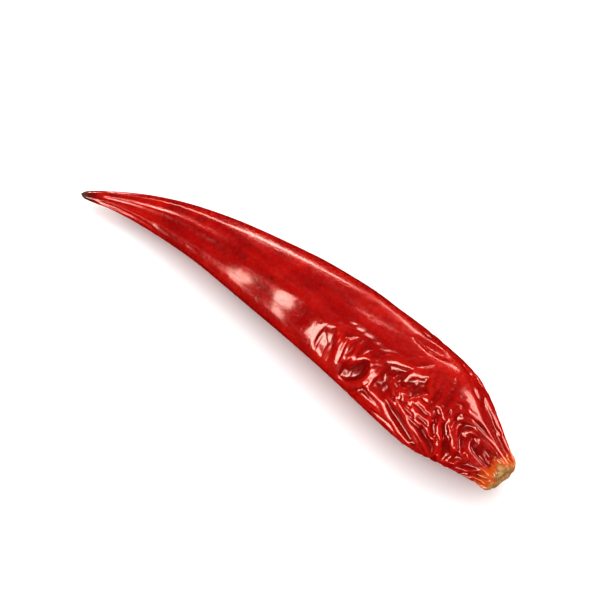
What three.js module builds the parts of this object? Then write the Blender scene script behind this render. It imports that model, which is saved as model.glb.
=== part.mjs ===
import * as THREE from 'three';
import { mergeVertices } from 'three/addons/utils/BufferGeometryUtils.js';

// A small dried red chilli pod without its stem, lying on its side.
// Millimetres, +Z up. +X runs from the pointed tip to the stem end, and the pod bows towards +Y.

// Overall sizes
const POD_LENGTH = 60;
const POD_WIDTH = 11.4; // across the belly, the widest place
const POD_HEIGHT = 9.6; // top to bottom over the belly, before the underside is pressed flat
const POD_BOW = 3.4; // how far the middle stands to the side of a line from end to end
const TIP_HOOK = 1.8; // how much further the tip bends away from that bow
const HOOK_LENGTH = 14; // length of the stretch that hooks, from the tip

// Outline, from the tip to the stem end
const TIP_WIDTH = 0.7; // across the blunt point
const BELLY_FROM_END = 11.5; // from the widest place to the stem end
const NECK_WIDTH = 4.1; // across the drawn-in stem end
const LIP_RADIUS = 1.2; // rounding of the stem end's rim
const SCAR_DEPTH = 0.9; // how far the scar of the stem sinks into the end

// How the pod lies
const SETTLE = 0.3; // depth of the underside that is pressed flat by lying
const TIP_LIFT = 1.1; // how far the tip's underside curls clear of the surface
const LIFT_LENGTH = 30; // length of the stretch that curls, from the tip
const NECK_LIFT = 1.5; // how far the stem end's underside is clear of the surface

// Chambers of the pod, seen as lobes of the section that wind slowly along it
const LOBE_COUNT = 3;
const LOBE_HEIGHT = 0.22;
const LOBE_ANGLE = 62; // degrees around from the +Y side, over the crown
const LOBE_WIND = 35; // degrees of winding over the whole length

// Skin that shrank: a groove along the crown, dents on the flanks, puckers at the neck
const GROOVE_DEPTH = 0.3;
const GROOVE_ANGLE = 102;
const GROOVE_START = 22; // from the tip
const GROOVE_FADE = 14; // the length it takes to reach its depth
const DENTS = [
  // along: from the tip, angle: around from the +Y side, long and wide: size along and around
  { along: 17, angle: 205, long: 4.0, wide: 30, depth: 0.22 },
  { along: 25.5, angle: 148, long: 3.2, wide: 22, depth: 0.22 },
  { along: 31, angle: 141, long: 2.4, wide: 26, depth: 0.34 },
  { along: 36.5, angle: 150, long: 2.0, wide: 22, depth: 0.4 },
  { along: 41, angle: 158, long: 2.3, wide: 20, depth: 0.34 },
  { along: 45, angle: 141, long: 1.9, wide: 22, depth: 0.4 },
  { along: 48.5, angle: 165, long: 2.2, wide: 24, depth: 0.4 },
  { along: 38, angle: 76, long: 4.4, wide: 13, depth: 0.3 },
  { along: 46, angle: 60, long: 2.6, wide: 20, depth: 0.34 },
  { along: 24, angle: 15, long: 4.6, wide: 20, depth: 0.3 },
  { along: 33, angle: 352, long: 3.0, wide: 26, depth: 0.36 },
  { along: 40, angle: 8, long: 2.4, wide: 22, depth: 0.36 },
  { along: 45, angle: 330, long: 2.6, wide: 24, depth: 0.36 },
  { along: 28, angle: 318, long: 3.4, wide: 18, depth: 0.26 },
  { along: 36, angle: 225, long: 3.0, wide: 18, depth: 0.3 },
  { along: 26, angle: 232, long: 3.6, wide: 16, depth: 0.24 },
];
const PUCKER_DEPTH = 0.36;
const PUCKER_COUNT = 8;
const PUCKER_LENGTH = 9; // how far the puckers run from the stem end

// Fineness of the facets
const SIDE_RINGS = 74;
const TIP_CAP_RINGS = 3;
const END_CAP_RINGS = 7;
const FACETS_AROUND = 44;

const BELLY_AT = POD_LENGTH - BELLY_FROM_END;
const { degToRad, euclideanModulo, lerp, smoothstep } = THREE.MathUtils;

// A smooth bump of height 1 at no distance, which has died away two spreads out.
function bump(distance, spread) {
  return Math.exp(-((distance / spread) ** 2));
}

// The same bump around the pod, for an angle in radians and a centre and spread in degrees.
function bumpAround(angle, centre, spread) {
  const apart = euclideanModulo(angle - degToRad(centre) + Math.PI, 2 * Math.PI) - Math.PI;
  return bump(apart, degToRad(spread));
}

// Half the width at a distance from the tip: a slow rise to the belly, then a quick shoulder.
function halfWidth(along) {
  if (along <= BELLY_AT) {
    const rise = Math.sin((Math.PI / 2) * (along / BELLY_AT) ** 0.9);
    return lerp(TIP_WIDTH / 2, POD_WIDTH / 2, rise);
  }
  const pastBelly = Math.min((along - BELLY_AT) / BELLY_FROM_END, 1);
  const shoulder = Math.cos((Math.PI / 2) * pastBelly) ** 1.4;
  return lerp(NECK_WIDTH / 2, POD_WIDTH / 2, shoulder);
}

// The outline from the point, along the side, over the rounded rim and down into the scar.
function outline() {
  const points = [new THREE.Vector2(0, 0)];
  const tipRadius = TIP_WIDTH / 2;
  for (let i = 1; i <= TIP_CAP_RINGS; i++) {
    const turn = (Math.PI / 2) * (i / (TIP_CAP_RINGS + 1));
    points.push(new THREE.Vector2(tipRadius * Math.sin(turn), tipRadius * (1 - Math.cos(turn))));
  }
  const sideEnd = POD_LENGTH - LIP_RADIUS;
  for (let i = 0; i <= SIDE_RINGS; i++) {
    const along = lerp(tipRadius, sideEnd, i / SIDE_RINGS);
    points.push(new THREE.Vector2(halfWidth(along), along));
  }
  const neck = halfWidth(sideEnd);
  for (let i = 1; i < END_CAP_RINGS; i++) {
    const share = i / END_CAP_RINGS;
    const rim = LIP_RADIUS * Math.sin(Math.PI * share ** 1.15);
    const scar = (LIP_RADIUS - SCAR_DEPTH) * smoothstep(share, 0.4, 1);
    points.push(new THREE.Vector2(neck * Math.cos((Math.PI / 2) * share), sideEnd + rim + scar));
  }
  points.push(new THREE.Vector2(0, POD_LENGTH - SCAR_DEPTH));
  return points;
}

// How deep the dents go at a place on the skin.
function dentedBy(along, angle) {
  return DENTS.reduce((sum, dent) => {
    const around = bumpAround(angle, dent.angle, dent.wide);
    return sum + dent.depth * around * bump(along - dent.along, dent.long);
  }, 0);
}

// How far the shrunken skin stands out from the plain turned shape, or in where it is negative.
function skinOffset(along, angle) {
  const fromEnd = POD_LENGTH - along;
  const fullness = halfWidth(along) / (POD_WIDTH / 2);
  const body = fullness * smoothstep(fromEnd, 1, 14);
  const wind = degToRad(LOBE_ANGLE + LOBE_WIND * (along / POD_LENGTH - 0.5));
  const lobes = LOBE_HEIGHT * Math.cos(LOBE_COUNT * (angle - wind));
  const grooveDepth = GROOVE_DEPTH * smoothstep(along, GROOVE_START, GROOVE_START + GROOVE_FADE);
  const groove = grooveDepth * bumpAround(angle, GROOVE_ANGLE + 8 * Math.sin(along / 7 + 1), 17);
  const puckerReach = 1 - smoothstep(fromEnd, 0, PUCKER_LENGTH);
  const puckerPhase = PUCKER_COUNT * angle + 1.3 * Math.sin(2 * angle) + along / 4;
  const puckers = PUCKER_DEPTH * puckerReach * Math.cos(puckerPhase);
  return body * (lobes - groove) - dentedBy(along, angle) + Math.sqrt(fullness) * puckers;
}

// The middle of the pod: bowed sideways, lying on its belly, with both ends curled up a little.
function spine(along) {
  const share = along / POD_LENGTH;
  const hook = TIP_HOOK * Math.max(0, 1 - along / HOOK_LENGTH) ** 2;
  const aside = POD_BOW * 4 * share * (1 - share) - hook;
  const lying = halfWidth(along) * (POD_HEIGHT / POD_WIDTH) - SETTLE;
  const tipLift = (TIP_LIFT + SETTLE) * Math.max(0, 1 - along / LIFT_LENGTH) ** 2;
  const neckLift = (NECK_LIFT + SETTLE) * smoothstep(along, BELLY_AT, POD_LENGTH);
  return new THREE.Vector3(along - POD_LENGTH / 2, aside, lying + tipLift + neckLift);
}

// The level direction straight out to the +Y side, square to the middle line.
function sideways(along) {
  const step = 0.01;
  const ahead = spine(along + step).sub(spine(along - step));
  return new THREE.Vector3(-ahead.y, ahead.x, 0).normalize();
}

// The turned shape is shrunk, bent onto the middle line and made less tall than wide.
function podGeometry() {
  const turned = new THREE.LatheGeometry(outline(), FACETS_AROUND);
  turned.deleteAttribute('normal');
  turned.deleteAttribute('uv');
  const geometry = mergeVertices(turned, 1e-5);
  const place = geometry.getAttribute('position');
  const point = new THREE.Vector3();
  for (let i = 0; i < place.count; i++) {
    point.fromBufferAttribute(place, i);
    const along = point.y;
    const angle = Math.atan2(point.x, point.z);
    const radius = Math.hypot(point.x, point.z);
    const nearness = Math.min(1, radius / halfWidth(along));
    const shrunk = radius + skinOffset(along, angle) * nearness;
    const middle = spine(along);
    middle.addScaledVector(sideways(along), shrunk * Math.cos(angle));
    middle.z += shrunk * Math.sin(angle) * (POD_HEIGHT / POD_WIDTH);
    place.setXYZ(i, middle.x, middle.y, Math.max(middle.z, 0));
  }
  return geometry;
}

// The origin is on the surface that the pod lies on, under the middle of its box.
function centred(geometry) {
  geometry.computeBoundingBox();
  const middle = geometry.boundingBox.getCenter(new THREE.Vector3());
  geometry.translate(-middle.x, -middle.y, -geometry.boundingBox.min.z);
  geometry.computeVertexNormals();
  return geometry;
}

const skin = new THREE.MeshStandardMaterial({ color: 0xa80a06, roughness: 0.3, metalness: 0 });
const pod = new THREE.Mesh(centred(podGeometry()), skin);
pod.name = 'pod';

const chilli = new THREE.Group();
chilli.add(pod);

export default chilli;
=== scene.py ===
"""A dried chilli pod lying on a pale surface, made around its CAD solid. Metres, Z up."""
import math

import bpy
import numpy as np
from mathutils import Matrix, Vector
from mathutils.bvhtree import BVHTree

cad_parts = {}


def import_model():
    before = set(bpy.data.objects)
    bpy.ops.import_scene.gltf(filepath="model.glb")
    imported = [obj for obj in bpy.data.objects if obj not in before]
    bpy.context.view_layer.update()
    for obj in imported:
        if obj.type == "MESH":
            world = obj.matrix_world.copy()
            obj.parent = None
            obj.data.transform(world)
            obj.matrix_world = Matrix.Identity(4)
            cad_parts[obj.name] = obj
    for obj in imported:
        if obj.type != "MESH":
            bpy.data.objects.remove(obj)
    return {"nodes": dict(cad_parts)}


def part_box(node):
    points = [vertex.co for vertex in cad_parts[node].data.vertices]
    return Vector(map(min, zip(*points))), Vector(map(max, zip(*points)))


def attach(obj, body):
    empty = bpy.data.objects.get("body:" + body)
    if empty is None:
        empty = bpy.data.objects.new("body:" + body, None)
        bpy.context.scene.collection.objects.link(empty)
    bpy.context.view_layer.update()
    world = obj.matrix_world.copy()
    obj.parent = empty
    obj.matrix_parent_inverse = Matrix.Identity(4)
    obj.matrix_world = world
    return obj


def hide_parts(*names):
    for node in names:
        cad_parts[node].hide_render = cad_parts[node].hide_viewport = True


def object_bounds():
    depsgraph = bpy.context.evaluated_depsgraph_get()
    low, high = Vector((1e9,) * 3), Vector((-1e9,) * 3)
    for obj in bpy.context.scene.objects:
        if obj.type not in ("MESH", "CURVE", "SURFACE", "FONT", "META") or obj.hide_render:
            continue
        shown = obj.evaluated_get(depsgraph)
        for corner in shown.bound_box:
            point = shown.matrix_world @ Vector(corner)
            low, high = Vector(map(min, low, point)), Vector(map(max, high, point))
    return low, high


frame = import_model()
CAD_LOW, CAD_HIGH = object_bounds()

MM = 0.001
POD = "pod"

# The skin is a grid of points: rows from the tip to the stem end, columns around the pod.
# Column 0 is the +Y side, a quarter of the way round is the crown, and half way the -Y side.
ROWS = 456
COLUMNS = 208
SEED = 11
PATCH_SEED = 5

# The stages of drying. The grid is coarser by the factor; bend, sink and bulge are the skin's
# resistance; it is drawn inward and starts rough, both in mm; and in each region it is too long
# by a share lengthwise and a share around.
STAGES = (
    {"factor": 4, "steps": 1200, "bend": 0.0012, "sink": 0.0008, "bulge": 0.03,
     "draw": 0.15, "rough": 0.1,
     "strains": {"stem": (0.01, 0.01), "flank": (0.022, 0.018), "back": (0.014, 0.016),
                 "patchy": (0.008, 0.008)}},
    {"factor": 2, "steps": 600, "bend": 0.0011, "sink": 0.0012, "bulge": 0.03,
     "draw": 0.05, "rough": 0.05,
     "strains": {"stem": (0.06, 0.05), "flank": (0.04, 0.025), "back": (0.03, 0.035),
                 "patchy": (0.014, 0.016)}},
    {"factor": 1, "steps": 250, "bend": 0.001, "sink": 0.002, "bulge": 0.03,
     "draw": 0.0, "rough": 0.05,
     "strains": {"stem": (0.09, 0.08), "flank": (0.045, 0.035), "back": (0.02, 0.02),
                 "patchy": (0.018, 0.022)}},
)

STRETCH = 0.16  # how hard the skin keeps its lengths
SLIDE = 0.01  # how firmly it is held against sliding over the rest surface
KEPT_SPEED = 0.9  # the share of its speed that is left after each step
STEP = 0.5

REST_SMOOTHING = 10
RELIEF_SMOOTHING = 60  # relief is the height above the skin smoothed this many times

TIP_REACH = 1.0 * MM  # the rows fan out over the tip from this far inside it
END_REACH = 2.6 * MM  # and over the stem end from this far inside
TIP_ROWS = 10
END_ROWS = 34
CAP_LEAN = 0.985  # how near to straight ahead the last row of a fan leans, as a share

LIGHT_DISTANCE = 0.5
WARM = (1.0, 0.8, 0.7)
FLOOR_HALF = 1.5

CAMERA_AZIMUTH = 40
CAMERA_ELEVATION = 60
CAMERA_DISTANCE = 0.185
CAMERA_LENS = 100


# ---------------------------------------------------------------- the grid on the CAD solid

def smoothstep(x, low, high):
    t = np.clip((x - low) / (high - low), 0.0, 1.0)
    return t * t * (3.0 - 2.0 * t)


def cad_tree():
    mesh = frame["nodes"][POD].data
    points = [v.co.copy() for v in mesh.vertices]
    faces = [list(p.vertices) for p in mesh.polygons]
    return BVHTree.FromPolygons(points, faces)


def middle_between(tree, start, direction):
    """The point half way between the walls that lie each way from start."""
    ahead = tree.ray_cast(start, direction)[0]
    behind = tree.ray_cast(start, -direction)[0]
    return start if ahead is None or behind is None else (ahead + behind) / 2


def middle_line(tree, count=90):
    """Points down the middle of the pod, evenly spaced along X."""
    low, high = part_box(POD)
    stations = np.linspace(low.x + TIP_REACH, high.x - END_REACH, count)
    spot = Vector((0.0, (low.y + high.y) / 2, (low.z + high.z) / 2))
    order = np.argsort(np.abs(stations), kind="stable")
    line = np.zeros((count, 3))
    for side in (-1, 1):
        here = spot.copy()
        for k in [k for k in order if np.sign(stations[k] + 1e-9) == side]:
            here.x = stations[k]
            for _ in range(3):
                here = middle_between(tree, here, Vector((0, 1, 0)))
                here = middle_between(tree, here, Vector((0, 0, 1)))
            line[k] = here
    for _ in range(20):
        line[1:-1] = (line[:-2] + 2 * line[1:-1] + line[2:]) / 4
    return line


def along_line(line):
    """Where each row's rays start, and which way is forward there. The cap rows share an end."""
    arc = np.r_[0, np.cumsum(np.linalg.norm(np.diff(line, axis=0), axis=1))]
    tangent = np.gradient(line, arc, axis=0)
    along = np.linspace(0, arc[-1], ROWS - TIP_ROWS - END_ROWS)
    at = np.stack([np.interp(along, arc, line[:, k]) for k in range(3)], 1)
    forward = np.stack([np.interp(along, arc, tangent[:, k]) for k in range(3)], 1)
    repeats = np.ones(len(along), int)
    repeats[0] += TIP_ROWS
    repeats[-1] += END_ROWS
    at = np.repeat(at, repeats, 0)
    forward = np.repeat(forward, repeats, 0)
    return at, forward / np.linalg.norm(forward, axis=1)[:, None]


def leans():
    """How far each row's rays lean forward, in radians: back over the tip, ahead at the end."""
    tip = -np.linspace(math.pi / 2, 0, TIP_ROWS + 1)[:-1] * CAP_LEAN
    end = np.linspace(0, math.pi / 2, END_ROWS + 1)[1:] * CAP_LEAN
    return np.r_[tip, np.zeros(ROWS - TIP_ROWS - END_ROWS), end]


def rest_grid():
    """ROWS x COLUMNS points on the CAD solid, found along rays from its middle line, and a
    pole at each end."""
    tree = cad_tree()
    at, forward = along_line(middle_line(tree))
    lean = leans()
    side = np.cross((0, 0, 1), forward)
    side /= np.linalg.norm(side, axis=1)[:, None]
    up = np.cross(forward, side)
    turns = np.arange(COLUMNS) * 2 * math.pi / COLUMNS
    grid = np.zeros((ROWS, COLUMNS, 3))
    for i in range(ROWS):
        across = np.cos(turns)[:, None] * side[i] + np.sin(turns)[:, None] * up[i]
        rays = math.cos(lean[i]) * across + math.sin(lean[i]) * forward[i]
        origin = Vector(at[i])
        for j in range(COLUMNS):
            grid[i, j] = tree.ray_cast(origin, Vector(rays[j]))[0]
    poles = [np.array(tree.ray_cast(Vector(at[k]), Vector(s * forward[k]))[0])
             for k, s in ((0, -1), (-1, 1))]
    return grid, poles


def smoothed(grid, times):
    for _ in range(times):
        grid = (np.roll(grid, 1, 1) + 2 * grid + np.roll(grid, -1, 1)) / 4
        grid[1:-1] = (grid[:-2] + 2 * grid[1:-1] + grid[2:]) / 4
    return grid


# ---------------------------------------------------------------- the skin shrinks and buckles

def normals(grid):
    along = np.gradient(grid, axis=0)
    around = (np.roll(grid, -1, 1) - np.roll(grid, 1, 1)) / 2
    n = np.cross(around, along)
    return n / np.maximum(np.linalg.norm(n, axis=2), 1e-12)[..., None]


def cubic(field, places, wrap):
    """Values of a field at fractional places along its first axis, on smooth cubics."""
    count = len(field)
    first = np.floor(places).astype(int)
    t = (places - first).reshape(-1, *[1] * (field.ndim - 1))
    keep = (lambda k: k % count) if wrap else (lambda k: np.clip(k, 0, count - 1))
    a, b, c, d = (field[keep(first + k)] for k in (-1, 0, 1, 2))
    return b + t / 2 * (c - a + t * (2 * a - 5 * b + 4 * c - d + t * (3 * (b - c) + d - a)))


def resized(field, rows, columns):
    """A grid field carried to another size, periodic around the pod."""
    tall = cubic(field, np.linspace(0, len(field) - 1, rows), False)
    turned = np.swapaxes(tall, 0, 1)
    wide = cubic(turned, np.arange(columns) * len(turned) / columns, True)
    return np.swapaxes(wide, 0, 1)


def noise(rng, shape, rows_across, columns_across):
    """Smooth noise with about that many bumps along and around."""
    coarse = rng.standard_normal((rows_across, columns_across))
    f = resized(coarse, *shape)
    return smoothed(f[..., None], 3)[..., 0]


def around_bump(turn, centre, spread):
    apart = (turn - centre + 180) % 360 - 180
    return np.exp(-(apart / spread) ** 2)


def regions(rows, columns):
    """Named parts of the skin as soft masks on a grid of that size, and two fields, turned
    and skewed, that vary the way its wrinkles run."""
    s = np.linspace(0, 1, rows)[:, None]
    turn = (np.arange(columns) * 360 / columns)[None, :]
    rng = np.random.default_rng(PATCH_SEED)
    coarse = (ROWS // 4, COLUMNS // 4)
    patchy = np.clip(0.9 + 0.7 * resized(noise(rng, coarse, 22, 9), rows, columns), 0.1, 2)
    turned, skewed = (resized(noise(rng, coarse, 16, 8), rows, columns) for _ in range(2))
    crown = around_bump(turn, 58, 46) * smoothstep(s, 0.03, 0.15)
    calm = (1 - 0.75 * crown) * (0.35 + 0.65 * smoothstep(s, 0.52, 0.74))
    return {
        "body": smoothstep(s, 0.03, 0.16) * (1 - smoothstep(s, 0.955, 0.985)),
        "stem": (1 - 0.9 * crown) * smoothstep(s, 0.64, 0.90),
        "flank": around_bump(turn, 158, 36) * smoothstep(s, 0.48, 0.7) * patchy,
        "back": around_bump(turn, 320, 60) * smoothstep(s, 0.2, 0.5) * patchy,
        "patchy": patchy * calm,
        "turned": np.clip(0.6 * turned, -0.7, 0.7),
        "skewed": np.clip(0.8 * skewed, -0.8, 0.8),
    }


def shifted(f, di, dj):
    return np.roll(f, (-di, -dj), (0, 1))


def laplacian(f):
    """The field's curvature, alike in every direction; rows past an end count as the last."""
    tall = np.concatenate([f[:1], f, f[-1:]])
    wide = 4 * tall + np.roll(tall, 1, 1) + np.roll(tall, -1, 1)
    return (wide[2:] + wide[:-2] + 4 * wide[1:-1] - 36 * f) / 6


def buckled(rest, start, lengthwise, roundabout, skew, stage):
    """Relaxes a skin that is too large for its rest surface, and is drawn inward. It keeps its
    lengths and resists bending, sinking a little and bulging more. Rows at both ends are held."""
    rows, columns, _ = rest.shape
    normal = normals(rest)
    families = []
    both = (lengthwise + roundabout) / 2
    for di, dj, grow in ((1, 0, lengthwise), (0, 1, roundabout),
                         (1, 1, both + skew), (1, -1, both - skew)):
        edge = np.linalg.norm(shifted(rest, di, dj) - rest, axis=2) * (1 + grow)
        live = np.ones((rows, 1))
        if di:
            live[-1] = 0
        families.append((di, dj, edge, live * (1.0 if 0 in (di, dj) else 0.5)))
    s = np.linspace(0, 1, rows)[:, None, None]
    free = smoothstep(s, 0.01, 0.05) * (1 - smoothstep(s, 0.975, 0.995))
    x = start.copy()
    speed = np.zeros_like(x)
    bend, sink, bulge = stage["bend"], stage["sink"], stage["bulge"]
    inward = stage["draw"] * sink * MM * normal * free
    for _ in range(stage["steps"]):
        pull = np.zeros_like(x)
        for di, dj, edge, stiff in families:
            d = shifted(x, di, dj) - x
            length = np.maximum(np.sqrt((d * d).sum(2)), 1e-9)
            c = (stiff * (1 - edge / length))[..., None] * d
            pull += c - shifted(c, -di, -dj)
        moved = x - rest
        out = (moved * normal).sum(2, keepdims=True)
        hold = np.where(out > 0, bulge, sink) * out * normal
        slide = SLIDE * (moved - out * normal)
        curl = bend * laplacian(laplacian(moved))
        speed = KEPT_SPEED * speed + STRETCH * pull - curl - hold - slide - inward
        x = rest + (x + STEP * speed - rest) * free
        x[..., 2] = np.maximum(x[..., 2], 0)
    return x


def dried_skin(rest):
    """The rest grid with its wrinkles: broad dents first, then folds, then fine crinkles."""
    rng = np.random.default_rng(SEED)
    shape = rest
    for stage in STAGES:
        factor, strains = stage["factor"], stage["strains"]
        rows, columns = ROWS // factor, COLUMNS // factor
        base = resized(shape, rows, columns)
        area = regions(rows, columns)
        lengthwise = sum(strains[k][0] * area[k] for k in strains) * area["body"]
        roundabout = sum(strains[k][1] * area[k] for k in strains) * area["body"]
        lengthwise = lengthwise * (1 + area["turned"])
        roundabout = roundabout * (1 - area["turned"])
        skew = (lengthwise + roundabout) / 2 * area["skewed"]
        bumps = noise(rng, (rows, columns), rows // 4, columns // 4)
        start = base + stage["rough"] * MM * bumps[..., None] * normals(base)
        x = buckled(base, start, lengthwise, roundabout, skew, stage)
        change = resized(x - base, ROWS, COLUMNS)
        shape = shape + (smoothed(change, factor) if factor > 1 else change)
        shape[..., 2] = np.maximum(shape[..., 2], 0)
    return shape


# ---------------------------------------------------------------- the mesh and its measures

def grid_mesh(name, grid, poles):
    """A closed mesh: the grid's quads, and a fan to a pole at each end."""
    rows, columns, _ = grid.shape
    points = np.vstack([grid.reshape(-1, 3), poles])
    i, j = np.meshgrid(np.arange(rows - 1), np.arange(columns), indexing="ij")
    k = (j + 1) % columns
    quads = np.stack([i * columns + j, i * columns + k, (i + 1) * columns + k,
                      (i + 1) * columns + j], -1).reshape(-1, 4)
    around = np.arange(columns)
    after = (around + 1) % columns
    tip, end = rows * columns, rows * columns + 1
    last = (rows - 1) * columns
    fans = [(tip, int(b), int(a)) for a, b in zip(around, after)]
    fans += [(end, int(last + a), int(last + b)) for a, b in zip(around, after)]
    mesh = bpy.data.meshes.new(name)
    mesh.from_pydata(points.tolist(), [], quads.tolist() + fans)
    mesh.validate()
    mesh.polygons.foreach_set("use_smooth", np.ones(len(mesh.polygons), bool))
    return mesh


def store(mesh, name, grid, at_tip, at_end):
    """Keeps a number for each point of the mesh, for the materials to read."""
    attribute = mesh.attributes.new(name, "FLOAT", "POINT")
    attribute.data.foreach_set("value", np.r_[grid.ravel(), at_tip, at_end].astype(np.float32))


def distance_along(skin):
    """How far each row is from the tip, in millimetres, as the skin runs."""
    steps = np.linalg.norm(np.diff(smoothed(skin, 12), axis=0), axis=2).mean(1)
    return np.r_[0, np.cumsum(steps)] / MM


def pod_piece():
    rest, poles = rest_grid()
    rest = smoothed(rest, REST_SMOOTHING)
    rest[..., 2] = np.maximum(rest[..., 2], 0)
    skin = dried_skin(rest)
    mesh = grid_mesh("chilli_pod", skin, poles)
    relief = ((skin - smoothed(skin, RELIEF_SMOOTHING)) * normals(rest)).sum(2) / MM
    from_tip = np.repeat(distance_along(skin)[:, None], COLUMNS, 1)
    from_end = from_tip.max() - from_tip
    store(mesh, "relief", relief, 0, 0)
    store(mesh, "from_tip", from_tip, 0, from_tip.max())
    store(mesh, "from_end", from_end, from_end.max(), 0)
    piece = bpy.data.objects.new("chilli_pod", mesh)
    bpy.context.scene.collection.objects.link(piece)
    return piece


# ---------------------------------------------------------------- materials

class Wiring:
    """Short ways to add and join the nodes of one material."""

    def __init__(self, name):
        self.material = bpy.data.materials.new(name)
        self.material.use_nodes = True
        self.tree = self.material.node_tree
        self.shader = self.tree.nodes["Principled BSDF"]

    def node(self, kind, **settings):
        made = self.tree.nodes.new(kind)
        for key, value in settings.items():
            setattr(made, key, value)
        return made

    def plug(self, value, socket):
        if isinstance(value, bpy.types.NodeSocket):
            self.tree.links.new(value, socket)
        else:
            socket.default_value = value

    def attribute(self, name):
        return self.node("ShaderNodeAttribute", attribute_name=name).outputs["Fac"]

    def math(self, operation, a, b=0.0):
        made = self.node("ShaderNodeMath", operation=operation)
        self.plug(a, made.inputs[0])
        self.plug(b, made.inputs[1])
        return made.outputs[0]

    def ramp(self, value, low, high, to_low=0.0, to_high=1.0):
        """Carries low..high smoothly to to_low..to_high, and holds it outside."""
        made = self.node("ShaderNodeMapRange", interpolation_type="SMOOTHSTEP")
        for key, v in (("Value", value), ("From Min", low), ("From Max", high),
                       ("To Min", to_low), ("To Max", to_high)):
            self.plug(v, made.inputs[key])
        return made.outputs["Result"]

    def mix(self, share, a, b):
        """Colour a where share is 0 and b where it is 1."""
        made = self.node("ShaderNodeMix", data_type="RGBA")
        self.plug(share, made.inputs["Factor"])
        self.plug(a, made.inputs["A"])
        self.plug(b, made.inputs["B"])
        return made.outputs["Result"]

    def coordinates(self, stretch=(1, 1, 1)):
        """Object coordinates in millimetres, stretched along each axis."""
        where = self.node("ShaderNodeTexCoord").outputs["Object"]
        mapping = self.node("ShaderNodeMapping")
        mapping.inputs["Scale"].default_value = [k / MM for k in stretch]
        self.plug(where, mapping.inputs["Vector"])
        return mapping.outputs["Vector"]

    def noise(self, size, detail=3.0, rough=0.55, where=None, distortion=0.0):
        """Noise with bumps about that many millimetres across, from 0 to 1."""
        made = self.node("ShaderNodeTexNoise")
        self.plug(where or self.coordinates(), made.inputs["Vector"])
        for key, v in (("Scale", 1 / size), ("Detail", detail), ("Roughness", rough),
                       ("Distortion", distortion)):
            made.inputs[key].default_value = v
        return made.outputs["Fac"]

    def bump(self, height, distance, strength=1.0, normal=None):
        made = self.node("ShaderNodeBump")
        made.inputs["Distance"].default_value = distance
        made.inputs["Strength"].default_value = strength
        self.plug(height, made.inputs["Height"])
        if normal is not None:
            self.plug(normal, made.inputs["Normal"])
        return made.outputs["Normal"]


RED = (0.33, 0.001, 0.0003, 1)
BRIGHT_RED = (0.52, 0.012, 0.003, 1)
DARK_RED = (0.13, 0.001, 0.001, 1)
ORANGE = (0.62, 0.13, 0.012, 1)
TAN = (0.50, 0.29, 0.12, 1)
SCAR_BROWN = (0.15, 0.065, 0.028, 1)
TIP_BROWN = (0.12, 0.062, 0.045, 1)


def skin_colour(w):
    patches = w.ramp(w.noise(4.0, 2.0), 0.38, 0.66)
    streaks = w.ramp(w.noise(1.0, 3.0, where=w.coordinates((0.16, 1, 1))), 0.35, 0.7)
    colour = w.mix(w.math("MULTIPLY", patches, 0.45), RED, BRIGHT_RED)
    colour = w.mix(w.math("MULTIPLY", streaks, 0.35), colour, DARK_RED)
    blotches = w.ramp(w.noise(2.2, 4.0, 0.6, distortion=0.4), 0.55, 0.75)
    colour = w.mix(w.math("MULTIPLY", blotches, 0.5), colour, DARK_RED)
    # painted shade: the skin's colour goes darker red in its valleys, where shade falls
    painted_valley_shade = w.ramp(w.attribute("relief"), 0.0, -0.3)
    colour = w.mix(w.math("MULTIPLY", painted_valley_shade, 0.3), colour, DARK_RED)
    # painted light: the skin's colour goes brighter red on its raised ridges, as if light shone
    # through the thin skin there
    painted_ridge_light = w.ramp(w.attribute("relief"), 0.05, 0.22)
    return w.mix(w.math("MULTIPLY", painted_ridge_light, 0.45), colour, BRIGHT_RED)


def skin_with_ends(w, colour):
    """The skin's colour, going orange and tan at the stem scar and brown at the tip."""
    uneven = w.math("MULTIPLY", w.math("SUBTRACT", w.noise(1.3, 4.0), 0.5), 4.0)
    from_end = w.math("ADD", w.attribute("from_end"), uneven)
    colour = w.mix(w.math("MULTIPLY", w.ramp(from_end, 4.2, 2.6), 0.75), colour, ORANGE)
    fibres = w.ramp(w.noise(0.45, 4.0, 0.6, where=w.coordinates((0.3, 1, 1))), 0.35, 0.7)
    dry = w.mix(w.math("MULTIPLY", fibres, 0.75), TAN, SCAR_BROWN)
    colour = w.mix(w.ramp(from_end, 2.6, 1.4), colour, dry)
    colour = w.mix(w.ramp(w.attribute("from_end"), 0.9, 0.3), colour, SCAR_BROWN)
    from_tip = w.math("ADD", w.attribute("from_tip"), w.math("MULTIPLY", uneven, 0.5))
    colour = w.mix(w.ramp(from_tip, 3.2, 0.9), colour, DARK_RED)
    return w.mix(w.ramp(from_tip, 1.5, 0.3), colour, TIP_BROWN)


def skin_material():
    w = Wiring("chilli_skin")
    w.plug(skin_with_ends(w, skin_colour(w)), w.shader.inputs["Base Color"])
    grain = w.noise(0.5, 5.0, 0.6)
    w.plug(w.ramp(grain, 0.3, 0.75, 0.2, 0.36), w.shader.inputs["Roughness"])
    creases = w.noise(0.9, 4.0, 0.5, where=w.coordinates((0.45, 1, 1)), distortion=0.8)
    normal = w.bump(creases, 0.1 * MM, 0.7)
    normal = w.bump(grain, 0.015 * MM, 0.7, normal)
    w.plug(normal, w.shader.inputs["Normal"])
    for key, value in (("Specular IOR Level", 0.25), ("Coat Weight", 0.4), ("Coat Roughness", 0.14),
                       ("Subsurface Weight", 0.06), ("Subsurface Scale", 0.6 * MM)):
        w.shader.inputs[key].default_value = value
    w.shader.inputs["Subsurface Radius"].default_value = (1.0, 0.12, 0.05)
    return w.material


def floor_material():
    w = Wiring("pale_floor")
    w.shader.inputs["Base Color"].default_value = (0.9, 0.9, 0.9, 1)
    w.shader.inputs["Roughness"].default_value = 0.7
    return w.material


# ---------------------------------------------------------------- the stage

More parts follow.
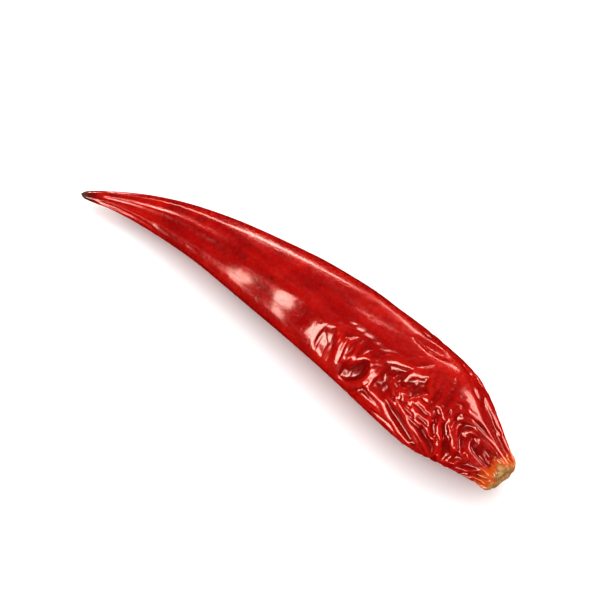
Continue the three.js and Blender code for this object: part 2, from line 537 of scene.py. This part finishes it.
def outward(azimuth, elevation):
    """The direction towards a viewer or a light at an azimuth and an elevation in degrees."""
    a, e = math.radians(azimuth), math.radians(elevation)
    return Vector((math.sin(a) * math.cos(e), -math.cos(a) * math.cos(e), math.sin(e)))


def floor():
    mesh = bpy.data.meshes.new("floor")
    corners = [(x * FLOOR_HALF, y * FLOOR_HALF, 0) for x, y in ((-1, -1), (1, -1), (1, 1), (-1, 1))]
    mesh.from_pydata(corners, [], [(0, 1, 2, 3)])
    mesh.materials.append(floor_material())
    plane = bpy.data.objects.new("floor", mesh)
    plane.visible_glossy = False
    bpy.context.scene.collection.objects.link(plane)


def world():
    sky = bpy.data.worlds.new("studio")
    sky.use_nodes = True
    background = sky.node_tree.nodes["Background"]
    background.inputs["Color"].default_value = (1, 1, 1, 1)
    background.inputs["Strength"].default_value = 0.98
    bpy.context.scene.world = sky
    sky.cycles_visibility.glossy = False


def softbox(name, azimuth, elevation, wide, tall, radiance, color=(1, 1, 1)):
    """A soft rectangular light LIGHT_DISTANCE from the frame's origin and facing it."""
    light = bpy.data.lights.new(name, "AREA")
    light.shape = "RECTANGLE"
    light.size, light.size_y = wide, tall
    light.color = color
    light.energy = radiance * math.pi * wide * tall
    lamp = bpy.data.objects.new(name, light)
    back = outward(azimuth, elevation)
    lamp.location = back * LIGHT_DISTANCE
    lamp.rotation_euler = (-back).to_track_quat("-Z", "Y").to_euler()
    bpy.context.scene.collection.objects.link(lamp)
    return lamp


def lights():
    """One soft key, and four panels that only glint in the skin."""
    key = softbox("soft_key", 212, 48, 0.45, 0.45, 1.4)
    key.visible_glossy = False
    ridge = softbox("ridge_glint", 228, 22, 0.4, 0.05, 23.0, WARM)
    flank = softbox("flank_glint", 356, 26, 0.45, 0.22, 17.0, WARM)
    shoulder = softbox("shoulder_glint", 135, 30, 0.3, 0.2, 12.0, WARM)
    crest = softbox("crest_glint", 190, 13, 0.16, 0.05, 14.0, WARM)
    for lamp in (ridge, flank, shoulder, crest):
        lamp.visible_diffuse = False


def camera():
    data = bpy.data.cameras.new("camera")
    data.lens = CAMERA_LENS
    data.clip_start = 0.01
    cam = bpy.data.objects.new("camera", data)
    back = outward(CAMERA_AZIMUTH, CAMERA_ELEVATION)
    centre = (CAD_LOW + CAD_HIGH) / 2
    cam.location = centre + back * CAMERA_DISTANCE
    cam.rotation_euler = (-back).to_track_quat("-Z", "Y").to_euler()
    bpy.context.scene.collection.objects.link(cam)
    bpy.context.scene.camera = cam


def main():
    pod = pod_piece()
    pod.data.materials.append(skin_material())
    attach(pod, "root")
    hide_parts(POD)
    floor()
    world()
    lights()
    camera()
    bpy.context.scene.view_settings.view_transform = "Standard"
    bpy.context.scene.view_settings.look = "High Contrast"


main()
